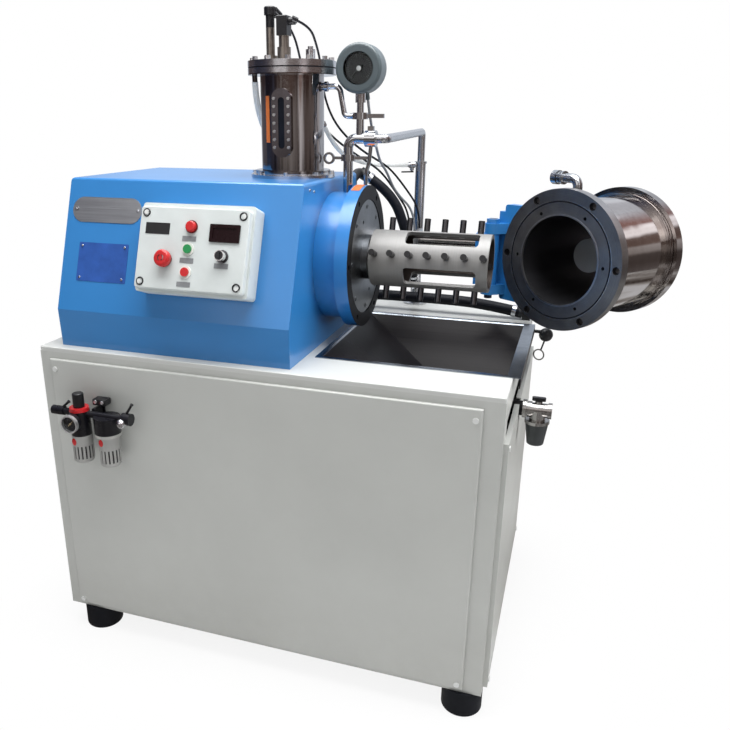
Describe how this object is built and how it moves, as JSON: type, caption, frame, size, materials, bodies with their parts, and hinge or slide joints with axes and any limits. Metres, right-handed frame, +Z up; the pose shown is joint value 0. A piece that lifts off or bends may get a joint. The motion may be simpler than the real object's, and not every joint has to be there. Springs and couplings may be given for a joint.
{
  "type": "horizontal pin bead mill",
  "caption": "Floor-standing horizontal bead mill: cabinet, blue drive cover, pin rotor, and a jacketed grinding chamber that swings and slides open over a drip tray.",
  "frame": {"origin": "on the floor, at the centre of the rectangle of anchor holes in the four rubber feet", "axes": "+X along the mill shaft from the drive towards the grinding chamber, +Y to the back of the machine, +Z up"},
  "size_m": [1.5933, 0.9415, 1.704],
  "materials": {
    "cabinet_paint": "smooth powder coat",
    "blue_paint": "gloss paint",
    "stainless": "satin",
    "polished": "polished",
    "dark_steel": "machined, dark",
    "tray_steel": "rolled sheet",
    "black_rubber": "matt",
    "black_plastic": "matt",
    "grey_paint": "semi-gloss",
    "green_plastic": "gloss",
    "red_plastic": "gloss",
    "clear_plastic": "clear",
    "clear_glass": "clear",
    "plate_metal": "satin",
    "cast": "painted",
    "cable_grey": "matt",
    "white_plastic": "matt"
  },
  "bodies": {
    "machine": {"air_bowls": "black_plastic", "air_unit": "grey_paint", "bearing_housing": "blue_paint", "button_bezels": "polished", "cabinet_frame": "cabinet_paint", "clear_hose_left": "clear_plastic", "clear_hose_right": "clear_plastic", "control_box": "white_plastic", "control_lid": "white_plastic", "cover_panels": "cabinet_paint", "drain_pipework": "stainless", "drip_tray": "tray_steel", "drive_cover": "blue_paint", "gauge_cable": "cable_grey", "gauge_case": "grey_paint", "glass_panes": "clear_glass", "hose_fittings": "black_plastic", "lower_hose": "black_rubber", "meter_display": "black_plastic", "motor_body": "cast", "panel_screws": "stainless", "plates": "plate_metal", "probe_cable_left": "black_rubber", "probe_cable_right": "black_rubber", "probes": "black_plastic", "return_hose": "black_rubber", "rubber_feet": "black_rubber", "seal_cover": "dark_steel", "seal_pipework": "polished", "shaft_bearings": "stainless", "signal_lamp": "red_plastic", "stand_pipe": "stainless", "tank_body": "polished", "tank_bolts": "stainless", "tank_cover": "polished", "tank_gasket": "black_rubber", "top_plate": "cabinet_paint", "v_belts": "black_rubber"},
    "rotor": {"main_shaft": "stainless", "shaft_pulley": "cast", "rotor_drum": "stainless", "rotor_pins": "dark_steel"},
    "motor_rotor": {"motor_rotor": "cast"},
    "guide_tubes": {"guide_tubes": "stainless"},
    "hinge_slide": {"hinge_slide": "dark_steel"},
    "chamber": {"chamber_body": "dark_steel", "mouth_ring_seal": "black_rubber", "chamber_liner": "stainless", "cooling_jacket": "polished", "end_cover": "polished", "separator_screen": "stainless", "hinge_bracket": "blue_paint"},
    "start_button": {"start_button": "green_plastic"},
    "stop_button": {"stop_button": "red_plastic"},
    "estop": {"estop_head": "red_plastic"},
    "speed_knob": {"speed_knob": "black_plastic"},
    "gauge_needle": {"gauge_needle": "plate_metal"},
    "regulator_knob": {"regulator_knob": "black_plastic"},
    "valve_lever": {"valve_lever": "black_plastic"},
    "drain_handle": {"drain_handle": "dark_steel"}
  },
  "joints": [
    {"name": "rotor_spin", "type": "hinge", "parent": "machine", "child": "rotor", "pos_m": [0.347, -0.052, 1.092], "axis": [1, 0, 0], "continuous": true},
    {"name": "motor_spin", "type": "hinge", "parent": "machine", "child": "motor_rotor", "pos_m": [-0.18, -0.052, 0.353], "axis": [1, 0, 0], "continuous": true},
    {"name": "guide_tube_slide", "type": "slide", "parent": "machine", "child": "guide_tubes", "axis": [1, 0, 0], "range_m": [-0.15, 0]},
    {"name": "hinge_rod_slide", "type": "slide", "parent": "guide_tubes", "child": "hinge_slide", "axis": [1, 0, 0], "range_m": [-0.1497, 0]},
    {"name": "chamber_swing", "type": "hinge", "parent": "hinge_slide", "child": "chamber", "pos_m": [0.473, 0.17, 1.092], "axis": [0, 0, 1], "range_deg": [-55.5, 34.5]},
    {"name": "start_button_push", "type": "slide", "parent": "machine", "child": "start_button", "axis": [0, -0.9413, 0.3374], "range_m": [-0.003, 0], "stiffness_N_per_m": 600},
    {"name": "stop_button_push", "type": "slide", "parent": "machine", "child": "stop_button", "axis": [0, -0.9413, 0.3374], "range_m": [-0.003, 0], "stiffness_N_per_m": 600},
    {"name": "emergency_stop_push", "type": "slide", "parent": "machine", "child": "estop", "axis": [0, -0.9413, 0.3374], "range_m": [-0.004, 0]},
    {"name": "speed_knob_turn", "type": "hinge", "parent": "machine", "child": "speed_knob", "pos_m": [-0.079, -0.41093, 1.13932], "axis": [0, -0.9413, 0.3374], "range_deg": [-150, 150]},
    {"name": "gauge_needle_turn", "type": "hinge", "parent": "machine", "child": "gauge_needle", "pos_m": [0.149, -0.07, 1.555], "axis": [0, 1, 0], "range_deg": [0, 270]},
    {"name": "regulator_knob_turn", "type": "hinge", "parent": "machine", "child": "regulator_knob", "pos_m": [-0.4745, -0.4675, 0.755], "axis": [0, 0, 1], "range_deg": [-170, 170]},
    {"name": "valve_lever_turn", "type": "hinge", "parent": "machine", "child": "valve_lever", "pos_m": [0.19437, 0.37169, 1.285], "axis": [0, 0, -1], "range_deg": [0, 90]},
    {"name": "drain_handle_turn", "type": "hinge", "parent": "machine", "child": "drain_handle", "pos_m": [0.65, -0.112, 0.767], "axis": [0, 0, 1], "range_deg": [0, 90]}
  ],
  "couplings": [
    {"joint": "motor_spin", "follows": "rotor_spin", "ratio": 1.6}
  ]
}
